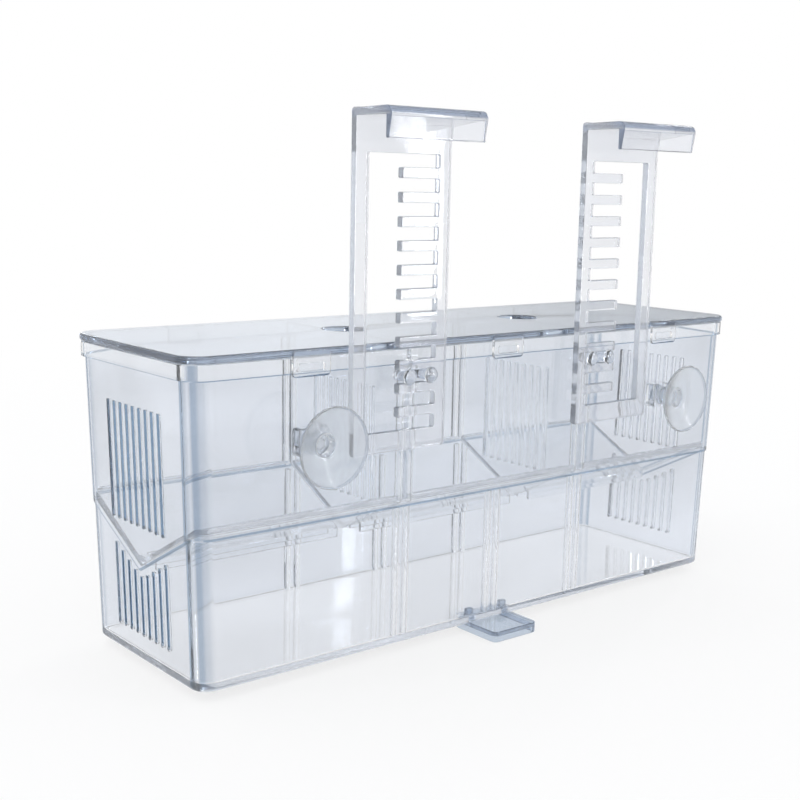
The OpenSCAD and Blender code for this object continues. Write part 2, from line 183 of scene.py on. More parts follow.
class PlasticColours(bpy.types.PropertyGroup):
    """What the clear plastics let through on their faces, the painted light and shade on some of their places, and how
    they darken along their edges.
    """

    tank: colour("Tank", "Tint of the tank's walls", "#F3F6FB")
    # Painted highlight: the collar band, the floor's flat faces, the faces by the ribs and the lid's tabs are painted
    # whiter than the walls
    collar: colour("Collar and floor", "Tint of the collar band and the floor, whiter than the walls", "#FFFFFF")
    # Painted shade: the left end's vent flanks are painted darker
    vent: colour("Vents", "Tint of the vent slots' flanks, which thin blades form and which look darker", "#93A9BF")
    # Painted shade: dark lines painted along the ledge's step, under the collar, at the lid tabs' lower ends and round
    # the cups' hubs and rims
    step: colour("Steps", "Tint of the ledge's step and the collar's underside, which show as dark lines", "#6B839D")
    # Painted shade and highlight: darker and paler streaks painted across the upright corners
    corner: colour("Corners", "Tint of the upright corners, where the wall is seen along its length", "#6C86A3")
    # Painted shade on the hooks' flanks
    hook_edge: colour("Hook edges", "Tint of the flanks of the hooks", "#D9DFE8")
    # Painted shade: dark lines on the teeth's faces that look up
    tooth: colour("Teeth", "Tint of the teeth's upper flanks, which show as dark lines", "#7F8B9B")
    # Painted shade along the edges of trays and dividers
    insert_edge_painted_shade: colour("Insert edges", "Tint of the edges of trays and dividers", "#E2E8EF")
    # Painted shade on the hooks' bends and their lips' ends
    hook_bend: colour("Hook bends", "Tint of the hooks' bends and of their lips' ends", "#8A99B4")
    insert: colour("Inserts", "Tint of trays and dividers", "#FCFDFE")
    lid: colour("Lid", "Tint of the lid", "#DFE7F1")
    hook: colour("Hooks", "Tint of the hooks", "#F8F9FC")
    foot: colour("Foot", "Tint of the foot", "#C8D3E1")
    cup: colour("Cups", "Tint of the soft cups", "#F9FBFD")
    edge: colour("Edges", "What a long way through the plastic turns white light to", "#4F80AA")
    floor: colour("Floor", "Colour of the studio floor", "#F7F8FA")


def settings(context):
    """The sizes of the tank, those of the other pieces, and the colours."""
    return context.scene.breeding_tank, context.scene.breeding_pieces, context.scene.breeding_colours


# ---------------------------------------------------------------- outlines and solids


def rounded(points, radius, steps=3):
    """A closed outline with each corner turned into a short arc."""
    nearly_straight, longest_share = math.radians(85), 0.45
    out = []
    for i, p in enumerate(points):
        p = Vector(p)
        a, b = Vector(points[i - 1]) - p, Vector(points[(i + 1) % len(points)]) - p
        half = a.angle(b) / 2
        if half > nearly_straight:
            out.append(tuple(p))
            continue
        reach = min(radius / math.tan(half), a.length * longest_share, b.length * longest_share)
        r = reach * math.tan(half)
        centre = p + (a.normalized() + b.normalized()).normalized() * (r / math.sin(half))
        start, end = p + a.normalized() * reach - centre, p + b.normalized() * reach - centre
        turn = start.angle_signed(end)
        for k in range(steps + 1):
            s = -turn * k / steps
            u = centre.x + start.x * math.cos(s) - start.y * math.sin(s)
            out.append((u, centre.y + start.x * math.sin(s) + start.y * math.cos(s)))
    return out


def rectangle(u0, u1, v0, v1):
    return [(u0, v0), (u1, v0), (u1, v1), (u0, v1)]


def circle(u, v, r, steps=48):
    turns = [2 * math.pi * i / steps for i in range(steps)]
    return [(u + r * math.cos(a), v + r * math.sin(a)) for a in turns]


def add_mesh(name, mesh):
    piece = bpy.data.objects.new(name, mesh)
    bpy.context.scene.collection.objects.link(piece)
    return piece


def closed(bm, name, merge=1e-6):
    """Merges the seams of a form, turns its faces outward and makes it an object."""
    bmesh.ops.remove_doubles(bm, verts=bm.verts, dist=merge)
    bmesh.ops.recalc_face_normals(bm, faces=bm.faces)
    mesh = bpy.data.meshes.new(name)
    bm.to_mesh(mesh)
    bm.free()
    return add_mesh(name, mesh)


def evaluated(piece):
    """A new mesh of what a piece's modifiers or its curve come to."""
    bpy.context.view_layer.update()
    return bpy.data.meshes.new_from_object(piece.evaluated_get(bpy.context.evaluated_depsgraph_get()))


def plate(name, outlines, low, high, rounding, plane, steps=2):
    """Plate between two levels from closed outlines, the outer one first, with every edge rounded."""
    curve = bpy.data.curves.new(name, "CURVE")
    curve.dimensions, curve.fill_mode = "2D", "BOTH"
    curve.extrude = (high - low) / 2 - rounding
    curve.bevel_depth, curve.bevel_resolution, curve.offset = rounding, steps, -rounding
    for outline in outlines:
        spline = curve.splines.new("POLY")
        spline.points.add(len(outline) - 1)
        for point, (u, v) in zip(spline.points, outline):
            point.co = (u, v, 0, 1)
        spline.use_cyclic_u = True
    source = add_mesh(name + "_outline", curve)
    mesh = evaluated(source)
    bm = bmesh.new()
    bm.from_mesh(mesh)
    bmesh.ops.transform(bm, matrix=plane @ Matrix.Translation((0, 0, (low + high) / 2)), verts=bm.verts)
    bpy.data.objects.remove(source)
    bpy.data.curves.remove(curve)
    bpy.data.meshes.remove(mesh)
    return closed(bm, name, 2e-6)


def block(name, low, high, rounding):
    """Block between two corners, with every edge rounded."""
    bm = bmesh.new()
    bmesh.ops.create_cube(bm, size=1)
    low, high = Vector(low), Vector(high)
    for v in bm.verts:
        v.co = Vector([low[i] if v.co[i] < 0 else high[i] for i in range(3)])
    if rounding:
        bmesh.ops.bevel(bm, geom=bm.edges, offset=rounding, segments=2, profile=0.5, affect="EDGES")
    return closed(bm, name)


def lofted(name, loops):
    """Skin over loops of equally many points, closed at both ends."""
    bm = bmesh.new()
    rows = [[bm.verts.new(p) for p in loop] for loop in loops]
    n = len(rows[0])
    for a, b in zip(rows, rows[1:]):
        for i in range(n):
            bm.faces.new((a[i], a[(i + 1) % n], b[(i + 1) % n], b[i]))
    bm.faces.new(rows[0])
    bm.faces.new(rows[-1])
    return closed(bm, name, 1e-7)


def turned(name, profile, centre, steps):
    """Solid of revolution about an axis to the front: a profile of (radius, distance), from the axis and back to it."""
    spin = Vector((0, 0, 1)).rotation_difference(Vector((0, -1, 0))).to_matrix()
    turns = [2 * math.pi * k / steps for k in range(steps)]
    bm = bmesh.new()
    rows = []
    for r, s in profile:
        ring = [(0, 0, s)] if r < 1e-7 else [(r * math.cos(a), r * math.sin(a), s) for a in turns]
        rows.append([bm.verts.new(Vector(centre) + spin @ Vector(p)) for p in ring])
    for a, b in zip(rows, rows[1:]):
        for k in range(steps):
            corners = [a[k % len(a)], a[(k + 1) % len(a)], b[(k + 1) % len(b)], b[k % len(b)]]
            corners = [c for i, c in enumerate(corners) if c not in corners[:i]]
            if len(corners) > 2:
                bm.faces.new(corners)
    return closed(bm, name, 1e-8)


def merged(name, pieces):
    """Several solids that don't touch, as one mesh."""
    bm = bmesh.new()
    for piece in pieces:
        bm.from_mesh(piece.data)
        mesh = piece.data
        bpy.data.objects.remove(piece)
        bpy.data.meshes.remove(mesh)
    return closed(bm, name, 1e-9)


def combined(piece, other, operation):
    """Joins other to piece, cuts it away, or keeps what they share."""
    step = piece.modifiers.new("step", "BOOLEAN")
    step.operation, step.object, step.solver = operation, other, "EXACT"
    mesh = evaluated(piece)
    if len(mesh.polygons) < 6:
        raise RuntimeError(f"{piece.name}: nothing is left after {operation} with {other.name}")
    old, used = piece.data, other.data
    piece.modifiers.remove(step)
    piece.data = mesh
    bpy.data.meshes.remove(old)
    bpy.data.objects.remove(other)
    bpy.data.meshes.remove(used)
    return piece


def shade(tint, share=1.0):
    """A tint of painted light or shade, with the share that it takes of a face, as painted() wants it."""
    return tuple(tint)[:3] + (share,)


def painted(piece, shade_of):
    """Paints light and shade into faces' tint: shade_of(corner's place, face) returns a shade, or nothing where there
    is none.
    """
    zone = piece.data.color_attributes.new("zone", "FLOAT_COLOR", "CORNER")
    for face in piece.data.polygons:
        for loop in face.loop_indices:
            place = piece.data.vertices[piece.data.loops[loop].vertex_index].co
            zone.data[loop].color = shade_of(place, face) or (0.0, 0.0, 0.0, 0.0)


def finished(piece, material, body, node, shade_of=None, smooth=35):
    """Paints light and shade into a piece's tint where shade_of is given, smooths it, gives it its plastic and hangs it
    on its body in place of its plain solid.
    """
    if shade_of:
        painted(piece, shade_of)
    mesh = piece.data
    mesh.name = piece.name
    for face in mesh.polygons:
        face.use_smooth = True
    mesh.set_sharp_from_angle(angle=math.radians(smooth))
    even = piece.modifiers.new("even", "WEIGHTED_NORMAL")
    even.keep_sharp, even.weight = True, 50
    mesh.materials.clear()
    mesh.materials.append(material)
    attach(piece, body)
    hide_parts(node)


# ---------------------------------------------------------------- plastics


def emptied(holder):
    """The node tree of a material or a world, without the nodes it comes with."""
    holder.use_nodes = True
    holder.node_tree.nodes.clear()
    return holder.node_tree


def node(tree, kind, links=(), stops=(), **values):
    """Adds a node with its settings and links.

    Values set attributes, or sockets by name. Links join sockets to others', or give a numbered socket its value.
    Stops give the places and colours of a ramp.
    """
    made = tree.nodes.new(kind)
    for key, value in values.items():
        if hasattr(made, key):
            setattr(made, key, value)
        else:
            made.inputs[key.replace("_", " ")].default_value = value
    for socket, source in dict(links).items():
        if isinstance(source, bpy.types.NodeSocket):
            tree.links.new(source, made.inputs[socket])
        else:
            made.inputs[socket].default_value = source
    for i, stop in enumerate(stops):
        made.color_ramp.elements[i].position, made.color_ramp.elements[i].color = stop
    return made


def moulded_clear(
    name, tint, haze, density, ior, flow_mm, roughness=0.0, flow_depth=0.02 * MM, scuff_mm=3.0, painted_blotch=0.97, uses_painted_light=True
):
    """Clear injection-moulded plastic: polished, with faint flow waves whose tint carries painted soft reflections,
    fine scuffs and edges that gather colour.
    """
    colours = bpy.context.scene.breeding_colours
    tint, deeper = tuple(tint), tuple(c * painted_blotch for c in tint[:3]) + (1.0,)
    material = bpy.data.materials.new(name)
    tree = emptied(material)
    place = node(tree, "ShaderNodeTexCoord").outputs["Object"]
    # Flow waves run along the filling direction, so they are stretched lengthwise
    stretch = node(tree, "ShaderNodeMapping", {"Vector": place}, Scale=(0.35, 1.0, 1.0))
    along = {"Vector": stretch.outputs["Vector"]}
    flow = node(tree, "ShaderNodeTexNoise", along, Scale=1000 / flow_mm, Detail=2.0, Roughness=0.4).outputs["Fac"]
    scuff = node(tree, "ShaderNodeTexNoise", {"Vector": place}, Scale=1000 / scuff_mm, Detail=5.0, Roughness=0.62)
    wave = node(tree, "ShaderNodeBump", {"Height": flow}, Strength=1.0, Distance=flow_depth)
    worn = dict(From_Min=0.42, From_Max=0.72, To_Min=roughness, To_Max=roughness + 0.05)
    sheen = node(tree, "ShaderNodeMapRange", {"Value": scuff.outputs["Fac"]}, **worn)
    # Painted reflection: the tint turns paler and darker in soft blotches along the flow waves
    paint = node(tree, "ShaderNodeValToRGB", {"Fac": flow}, ((0.3, deeper), (0.7, tint))).outputs["Color"]
    if uses_painted_light:
        # Edges, slots, bends and bands carry painted light and shade on their faces; alpha says how much
        zone = node(tree, "ShaderNodeAttribute", attribute_name="zone")
        tints = {0: zone.outputs["Alpha"], 6: paint, 7: zone.outputs["Color"]}
        paint = node(tree, "ShaderNodeMix", tints, data_type="RGBA").outputs[2]
    drawn = {"Base Color": paint, "Roughness": sheen.outputs["Result"], "Normal": wave.outputs["Normal"]}
    skin = node(tree, "ShaderNodeBsdfPrincipled", drawn, IOR=ior, Transmission_Weight=1.0 - haze)
    depth = node(tree, "ShaderNodeVolumeAbsorption", Color=tuple(colours.edge), Density=density)
    surface, volume = skin.outputs["BSDF"], depth.outputs["Volume"]
    node(tree, "ShaderNodeOutputMaterial", {"Surface": surface, "Volume": volume})
    return material


def plastic(key):
    """The plastic of one group of pieces, made once."""
    colours = bpy.context.scene.breeding_colours
    recipes = {
        # Crystal polystyrene, injection moulded: high gloss and a faint blue-grey along its edges. Its IOR is about
        # 1.59; trays and dividers take far less, because they show only faintly through the tank's wall
        "tank": dict(name="clear_polystyrene_moulded_tank", haze=0.025, density=2.0, ior=1.57, flow_mm=34, painted_blotch=0.89),
        "lid": dict(name="clear_polystyrene_moulded_lid", haze=0.05, density=8.0, ior=1.57, flow_mm=40),
        "insert": dict(name="clear_polystyrene_moulded_insert", haze=0.01, density=0.8, ior=1.44, flow_mm=26),
        "foot": dict(
            name="clear_polystyrene_moulded_foot",
            haze=0.04, density=16.0, ior=1.57, flow_mm=12, scuff_mm=2.0, uses_painted_light=False,
        ),
        # Acrylic, injection moulded: the palest of them, with a light haze that sets the hooks off from the tank
        "hook": dict(
            name="clear_acrylic_moulded_hook",
            haze=0.16, density=5.0, ior=1.49, flow_mm=18, flow_depth=0.015 * MM, scuff_mm=2.4,
        ),
        # Soft vinyl, moulded: satin rather than polished, so that its gloss is broad and round
        "cup": dict(
            name="soft_vinyl_moulded_cup", haze=0.07, density=3.0, ior=1.45, flow_mm=9, roughness=0.12, scuff_mm=1.6
        ),
    }
    recipe = recipes[key]
    return bpy.data.materials.get(recipe["name"]) or moulded_clear(tint=getattr(colours, key), **recipe)


# ---------------------------------------------------------------- tank


def half_length(t, z):
    return t.rim_l / 2 - t.taper_l * (t.rim_h - z) / t.rim_h


def half_depth(t, z):
    return t.rim_w / 2 - t.taper_w * (t.rim_h - z) / t.rim_h


def low_cut(t):
    """How far the lower walls' inner faces lie inside the outer face."""
    return t.ledge_out + t.low_wall_t


def v_half(t):
    """Half the width of the V at its top."""
    return half_depth(t, t.ledge_z) - low_cut(t) - t.v_strip


def v_line(t, y):
    """Height of the V, or of the ledge beside it."""
    return min(t.ledge_z, t.v_low_z + (t.ledge_z - t.v_low_z) * abs(y) / v_half(t))


def tray_half(t, p):
    """Half the width of what stands between the upper walls on the ledge."""
    return half_depth(t, t.ledge_z) - t.wall_t - p.loose


def tank_loop(t, cut, height, above_v=False, upright=False):
    """Loop round the tank at a distance inside its outer face.

    With above_v its height is counted from the ledge and the V. An upright loop doesn't follow the walls' lean.
    """
    corner_steps = 9
    r = t.corner_r - cut
    corner = [math.radians(90 * k / corner_steps) for k in range(corner_steps + 1)]
    # Side, side and angle: "long" and "end" stand for shares along the straight walls between the corners
    stations = []
    for sx, sy in ((1, 1), (-1, 1), (-1, -1), (1, -1)):
        arc = [(sx, sy, a) for a in corner]
        if sx == sy:
            stations += arc + [(f * sx, sy, "long") for f in (0.5, 0.0, -0.5)]
        else:
            stations += arc[::-1] + [(sx, f * sy, "end") for f in (0.6, 0.3, 0.0, -0.3, -0.6)]
    loop = []
    for sx, sy, a in stations:
        z = t.ledge_z if above_v else height
        # The V's height hangs on the place and the place on the height, so both are found in two rounds
        for _ in range(2):
            level = t.rim_h if upright else z
            l, w = half_length(t, level) - cut, half_depth(t, level) - cut
            if a == "long":
                x, y = sx * (l - r), sy * w
            elif a == "end":
                x, y = sx * l, sy * (w - r)
            else:
                x, y = sx * (l - r + r * math.cos(a)), sy * (w - r + r * math.sin(a))
            z = v_line(t, y) + height if above_v else height
        loop.append((x, y, z))
    return loop


def tank_shell(t):
    """Walls and floor in one skin: bottom edge, outer step, collar, rim, ledge with its V, and the rounded floor."""
    e, b, f = t.edge_round, t.bottom_round, t.floor_round
    collar, out, cut, step = t.rim_h - t.collar_h, -t.collar_out, low_cut(t), -t.ledge_t
    arc = [(1 - math.sin(a), 1 - math.cos(a)) for a in map(math.radians, (0, 30, 60, 90))]
    under_ledge = (
        (t.ledge_out, step - e * 0.7), (t.ledge_out - e * 0.25, step), (e * 0.5, step + e * 0.1), (0, step + e),
        (0, step + e + 0.5 * MM),
    )
    loops = [tank_loop(t, t.ledge_out + b * s, b * c) for s, c in arc]
    loops += [tank_loop(t, inset, height, above_v=True) for inset, height in under_ledge]
    loops += [tank_loop(t, 0, collar - e), tank_loop(t, -e * 0.4, collar)]
    loops += [tank_loop(t, out + e * s, collar + e * c, upright=True) for s, c in arc]
    loops += [tank_loop(t, out + e * c, t.rim_h - e * s, upright=True) for s, c in arc]
    loops += [tank_loop(t, t.wall_t - e * s, t.rim_h - e * c) for s, c in arc]
    loops += [tank_loop(t, t.wall_t + e * c, e * s, above_v=True) for s, c in arc]
    loops += [tank_loop(t, cut - e * 0.5 * s, -e * 0.5 * c, above_v=True) for s, c in arc]
    loops += [tank_loop(t, cut + f * c, t.floor_t + f * s) for s, c in arc]
    return lofted("tank_shell", loops)


def vent_cutter(t, side, y, z0, z1, outer, thick):
    """Slot through an end wall, flared at both faces so that its edges come out rounded."""
    e, w = t.edge_round, t.vent_w / 2
    near_face = [(-PAST, e), (0.0, e), (e * 0.3, e * 0.35), (e, 0.0)]
    loops = []
    for depth, flare in near_face + [(thick - depth, flare) for depth, flare in reversed(near_face)]:
        outline = rounded(rectangle(-w - flare, w + flare, z0 - flare, z1 + flare), w * 0.5 + flare, 2)
        loops.append([(side * (outer(v) - depth), y + u, v) for u, v in outline])
    return lofted("vent_cutter", loops)


def vent_places(t):
    return [(i - (t.vent_count - 1) / 2) * t.vent_pitch for i in range(t.vent_count)]


def wall_vents(t):
    """All slots of both end walls: the upper group, and the lower group whose tops follow the V."""
    cutters = []
    for side in SIDES.values():
        for y in vent_places(t):
            top = v_line(t, abs(y) - t.vent_w / 2) - t.vent_band
            for low, high, outer, thick in (
                (t.vent_z, t.vent_top_z, lambda z: half_length(t, z), t.wall_t),
                (t.low_vent_z, top, lambda z: half_length(t, z) - t.ledge_out, t.low_wall_t),
            ):
                cutters.append(vent_cutter(t, side, y, low, high, outer, thick))
    return merged("wall_vents", cutters)


def channel_ribs(t, p):
    """Rib pairs for the dividers on the upper walls, and the shorter pairs on the lower walls."""
    shorter = 0.4 * MM
    upper = (t.ledge_z, t.rim_h - t.rib_drop, t.wall_t, t.rib_d)
    lower = (t.floor_t - SINK, t.ledge_z - t.ledge_t - shorter, low_cut(t), t.rib_d - shorter)
    places = [(x, *upper) for x in (-DIVIDER_X, DIVIDER_X)] + [(x, *lower) for x in (-DIVIDER_X, 0.0, DIVIDER_X)]
    ribs = []
    for side in SIDES.values():
        for x, z0, z1, cut, depth in places:
            wall = half_depth(t, z0) - cut
            ys = sorted((side * (wall - depth), side * (wall + SINK)))
            low = z0 - (SINK if z0 == t.ledge_z else 0)
            for s in SIDES.values():
                middle = x + s * (t.chan_gap + t.rib_w) / 2
                corners = (middle - t.rib_w / 2, ys[0], low), (middle + t.rib_w / 2, ys[1], z1)
                ribs.append(block("rib", *corners, 0.35 * MM))
    return merged("channel_ribs", ribs)


def hook_pegs(t, p):
    """Two pairs of pegs with domed heads, which reach through the third slot of each hook."""
    slot_play, hook_gap = 0.2 * MM, 2.0 * MM
    x = HOOK_LOW.x + p.root_leg + p.peg_d / 2 + p.loose + slot_play
    z = HOOK_LOW.z + p.bottom_bar + p.slot_h / 2 + 2 * p.slot_pitch
    reach = t.rim_w / 2 + t.collar_out + hook_gap + p.hook_t + p.loose
    r, h, wall = p.peg_d / 2, p.peg_head_d / 2, half_depth(t, z)
    start, dome, brim = wall - t.wall_t / 2, 1.8 * MM, 0.25 * MM
    profile = [(0, start), (r, start), (r, wall + HAIR), (r, reach - brim), (r + 0.12 * MM, reach)]
    profile += [(h - 0.2 * MM, reach), (h, reach + brim)]
    bow = map(math.radians, (20, 38, 54, 68, 80))
    profile += [(h * math.cos(a), reach + brim + (dome - brim) * math.sin(a)) for a in bow]
    profile += [(0, reach + dome)]
    centres = [(side * (x + k * p.peg_pair), 0, z) for side in SIDES.values() for k in (0, 1)]
    return merged("hook_pegs", [turned("peg", profile, centre, 36) for centre in centres])


def cup_brackets(t, p):
    """Blocks with an open-topped keyhole each, for the cups' necks."""
    cup_x, cup_z = (CUP_LOW.x + CUP_HIGH.x) / 2, (CUP_LOW.z + CUP_HIGH.z) / 2
    w, h = 5.7 * MM, 4.6 * MM  # Half the bracket's width and height
    y = half_depth(t, cup_z)
    front = y + p.bracket_d
    half_turn = [math.radians(180 + k * 15) for k in range(13)]
    made = []
    for side in SIDES.values():
        x = side * cup_x
        form = rounded(rectangle(x - w, x + w, cup_z - h, cup_z + h), 1.0 * MM, 4)
        body = plate("bracket", [form], y - t.wall_t / 2, front, 0.4 * MM, FACING_FRONT)
        button_room = (p.button_d + 2 * p.loose, y + 0.4 * MM, front - p.bracket_t)
        neck_room = (p.neck_d + 2 * p.loose, y + 0.6 * MM, front + PAST)
        for d, low, high in (button_room, neck_room):
            outline = [(x + d / 2 * math.cos(a), cup_z + d / 2 * math.sin(a)) for a in half_turn]
            outline += [(x + d / 2, cup_z + 2 * h), (x - d / 2, cup_z + 2 * h)]
            combined(body, plate("keyhole", [outline], low, high, 0.05 * MM, FACING_FRONT, 1), "DIFFERENCE")
        made.append(body)
    return merged("cup_brackets", made)


def foot_prongs(t, name, half_w, half_d, low, high, rounding):
    """The foot's two prongs, or the holes that they go through."""
    x, y = 8.5 * MM, -(half_depth(t, 0) - low_cut(t) - 2.6 * MM)
    made = []
    for s in SIDES.values():
        corners = (s * x - half_w, y - half_d, low), (s * x + half_w, y + half_d, high)
        made.append(block(name, *corners, rounding))
    return merged(name + "s", made)


def foot_pocket(t, p):
    low = (FOOT_LOW.x - p.loose, -t.rim_w, -PAST)
    return block("foot_pocket", low, (FOOT_HIGH.x + p.loose, FOOT_HIGH.y + p.loose, p.pocket_t), 0)


def tank_shades(t, colours):
    """Painted light and shade on the tank's places: white painted highlights on the collar, floor and ribs, painted
    shade on the steps and vent flanks, painted streaks on the corners.
    """
    e, line_h, slack = t.edge_round, 0.45 * MM, 0.3 * MM
    vents_x, vents_y = half_length(t, 0) - low_cut(t) - PAST, t.vent_pitch * t.vent_count / 2
    rim_x, rim_y = half_length(t, t.rim_h) + NEAR, half_depth(t, t.rim_h) + NEAR
    rib_reach = t.chan_gap / 2 + t.rib_w + slack
    # Share of the corner's tint across the corner, from the end wall round to the long wall: painted streaks of shade,
    # with paler gaps between them that stand for highlights
    painted_corner_streaks = (0.8, 1.0, 0.45, 0.0, 0.9, 0.85, 0.5, 0.4, 0.15, 0.0)

    def into_corner(q):
        """How far a place lies past the start of the corner's rounding, along and across the box."""
        return (
            abs(q.x) - (half_length(t, q.z) - t.corner_r),
            abs(q.y) - (half_depth(t, q.z) - t.corner_r),
        )

    def shade_of(place, face):
        c, n = face.center, face.normal
        if abs(c.x) > vents_x and abs(c.y) < vents_y and abs(n.y) > 0.6 and t.low_vent_z < c.z < t.vent_top_z:
            # Painted shade: the left end's slot flanks are painted darker; the right end's are seen through the box,
            # look paler and stay unpainted
            return shade(colours.vent) if c.x < 0 else None
        # Painted light: the floor's flat faces take the collar's white tint
        if c.z < t.floor_t + NEAR and abs(n.z) > 0.7:
            return shade(colours.collar)
        if abs(c.y) > rim_y + t.collar_out or c.z < t.floor_t:
            return None
        inner_x, inner_y = half_length(t, c.z) - t.wall_t / 2, half_depth(t, c.z) - t.wall_t / 2
        outside = abs(c.x) > inner_x or abs(c.y) > inner_y
        above_step, above_collar = c.z - v_line(t, c.y) + t.ledge_t, c.z - t.rim_h + t.collar_h
        # Painted shade: dark lines on downward faces, along the ledge's step and under the collar
        if outside and (n.z < -0.6 or -e < above_step < e + line_h or -e < above_collar < e):
            return shade(colours.step)
        # Painted highlight: the inner faces by the ribs take the collar's white tint
        by_rib = any(abs(abs(c.x) - x) < rib_reach for x in (0.0, DIVIDER_X))
        if not outside and by_rib and abs(c.y) < half_depth(t, c.z) - t.wall_t - 0.05 * MM:
            return shade(colours.collar)
        # Painted highlight: the collar band's outer faces take the white tint
        if c.z > t.rim_h - t.collar_h and (abs(c.x) > rim_x or abs(c.y) > rim_y):
            return shade(colours.collar)
        # Painted streaks of shade and highlight across the corner's outer faces
        r = t.corner_r - (t.ledge_out if c.z < v_line(t, c.y) - t.ledge_t else 0.0)
        u, v = into_corner(c)
        if u > NEAR and v > NEAR and math.hypot(u, v) > r - slack and abs(n.z) < 0.5:
            u, v = into_corner(place)
            at = math.atan2(max(v, 0.0), max(u, 0.0)) / (math.pi / 2) * (len(painted_corner_streaks) - 1)
            low = min(int(at), len(painted_corner_streaks) - 2)
            return shade(colours.corner, painted_corner_streaks[low] + (painted_corner_streaks[low + 1] - painted_corner_streaks[low]) * (at - low))
        return None

    return shade_of


class AddTank(bpy.types.Operator):
    """Tank with collar, ledge, V step, vents, channel ribs, pegs and cup brackets"""

    bl_idname = "breeding_box.add_tank"
    bl_label = "Add tank"

    def execute(self, context):
        t, p, colours = settings(context)
        tank = tank_shell(t)
        combined(tank, wall_vents(t), "DIFFERENCE")
        for form in (channel_ribs, hook_pegs, cup_brackets):
            combined(tank, form(t, p), "UNION")
        combined(tank, foot_prongs(t, "prong_hole", 1.8 * MM, 1.3 * MM, -PAST, 4 * MM, 0), "DIFFERENCE")
        combined(tank, foot_pocket(t, p), "DIFFERENCE")
        tank.name = "tank_body_moulded"
        finished(tank, plastic("tank"), "tank", "tank_body", tank_shades(t, colours))
        return {"FINISHED"}


# ---------------------------------------------------------------- lid, dividers and trays


def lid_tab(p, x, low, top, reach):
    """Tab that hangs over the collar, with its window."""
    x0, x1 = x - p.tab_w / 2, x + p.tab_w / 2
    side_bar, window_low, window_high = 2.5 * MM, 1.9 * MM, 4.4 * MM
    form = rounded(rectangle(x0, x1, low, top - 0.3 * MM), 1.5 * MM, 4)
    window = rectangle(x0 + side_bar, x1 - side_bar, low + window_low, low + window_high)
    return plate("lid_tab", [form, rounded(window, 0.6 * MM, 2)], *reach, 0.25 * MM, FACING_FRONT)


class AddLid(bpy.types.Operator):
    """Lid plate with two feeding holes and six hanging tabs"""

    bl_idname = "breeding_box.add_lid"
    bl_label = "Add lid"

    def execute(self, context):
        t, p, colours = settings(context)
        l, w = LID_HIGH.x, t.rim_w / 2 + t.collar_out + LID_OVER
        low, top = LID_LOW.z, LID_HIGH.z
        bottom = top - p.lid_t
        outer = rounded(rectangle(-l, l, -w, w), t.corner_r + t.collar_out + LID_OVER, 10)
        holes = [circle(s * DIVIDER_X, 0, p.feed_d / 2) for s in SIDES.values()]
        lid = plate("lid_moulded", [outer] + holes, bottom, top, p.lid_round, FLAT, 3)
        inner = t.rim_w / 2 + t.collar_out + p.loose
        tabs = []
        for side in SIDES.values():
            reach = sorted((-side * inner, -side * (inner + p.tab_t)))
            tabs += [lid_tab(p, x, low, top, reach) for x in (-p.tab_x, 0.0, p.tab_x)]
        combined(lid, merged("lid_tabs", tabs), "UNION")

        # Painted light and shade: the tabs are painted white, with a painted shade line along their lower ends
        def shade_of(place, face):
            if face.center.z > bottom - NEAR:
                return None
            return shade(colours.step if face.center.z < low + 0.5 * MM else colours.collar)

        finished(lid, plastic("lid"), "lid_body", "lid", shade_of)
        return {"FINISHED"}


class AddDividers(bpy.types.Operator):
    """Two upright dividers with a V-shaped lower edge and a group of vents"""

    bl_idname = "breeding_box.add_dividers"
    bl_label = "Add dividers"

    def execute(self, context):
        t, p, colours = settings(context)
        half_t = (DIVIDER_HIGH.x - DIVIDER_LOW.x) / 2
        base, top, v = t.ledge_z + p.seat, DIVIDER_HIGH.z, v_half(t)
        low, high = tray_half(t, p), half_depth(t, top) - t.wall_t - p.loose
        form = [(-low, base), (-v, base), (0, DIVIDER_LOW.z), (v, base), (low, base), (high, top), (-high, top)]
        outlines = [rounded(form, 0.8 * MM, 3)]
        for y in vent_places(t):
            slot = rectangle(y - t.vent_w / 2, y + t.vent_w / 2, t.vent_z, t.vent_top_z + 2 * MM)
            outlines.append(rounded(slot, 0.4 * MM, 2))
        vents = t.vent_pitch * t.vent_count / 2

        # Painted shade along the divider's edge faces, away from the vents
        def shade_of(place, face):
            c = face.center
            beside = abs(c.y) > vents or not t.vent_z - MM < c.z < t.vent_top_z + 3 * MM
            return shade(colours.insert_edge_painted_shade) if abs(face.normal.x) < 0.5 and beside else None

        for name in SIDES:
            first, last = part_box("divider_" + name)
            middle = (first.x + last.x) / 2
            span = middle - half_t, middle + half_t
            made = plate(f"divider_{name}_moulded", outlines, *span, p.plate_round, FACING_END)
            finished(made, plastic("insert"), f"divider_{name}_body", "divider_" + name, shade_of)
        return {"FINISHED"}


